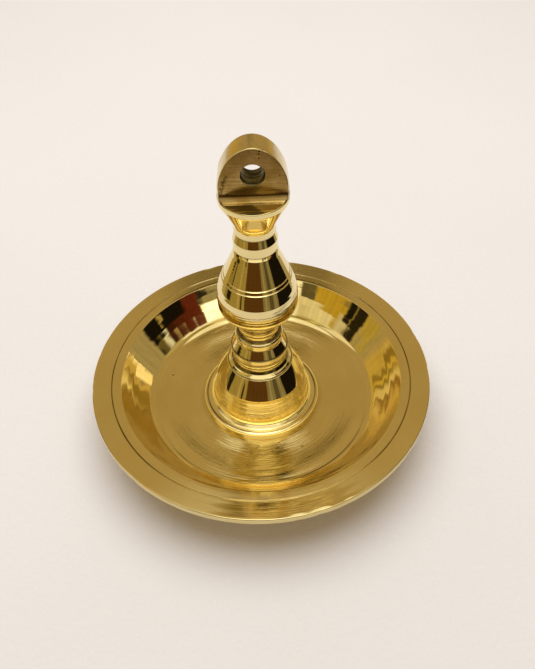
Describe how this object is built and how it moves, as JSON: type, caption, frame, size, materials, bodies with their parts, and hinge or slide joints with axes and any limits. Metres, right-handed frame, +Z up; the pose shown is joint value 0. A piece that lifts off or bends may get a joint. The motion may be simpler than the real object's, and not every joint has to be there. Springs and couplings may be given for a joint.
{
  "type": "hanging oil lamp",
  "caption": "Shallow brass oil dish with a flat grooved rim and a turned central stem that ends in a drilled eye to hang it by.",
  "frame": {"origin": "on the stem's axis, in the plane that the dish's foot ring stands on", "axes": "+Z up the stem, +Y along the eye's hole, -Y towards the viewer of the picture"},
  "size_m": [0.12, 0.12, 0.116],
  "materials": {
    "satin_brass": "turned and buffed, satin on the rim and floor, bright on the bowl's wall",
    "polished_brass": "turned and polished, with fine turning marks",
    "plain_brass": "as machined",
    "leather_seal": "oiled, matt"
  },
  "bodies": {
    "root": {"dish": "satin_brass", "foot_boss": "polished_brass", "column": "polished_brass", "eye_finial": "polished_brass", "fixing_screw": "plain_brass", "screw_washer": "plain_brass", "sealing_washer": "leather_seal"}
  },
  "joints": []
}
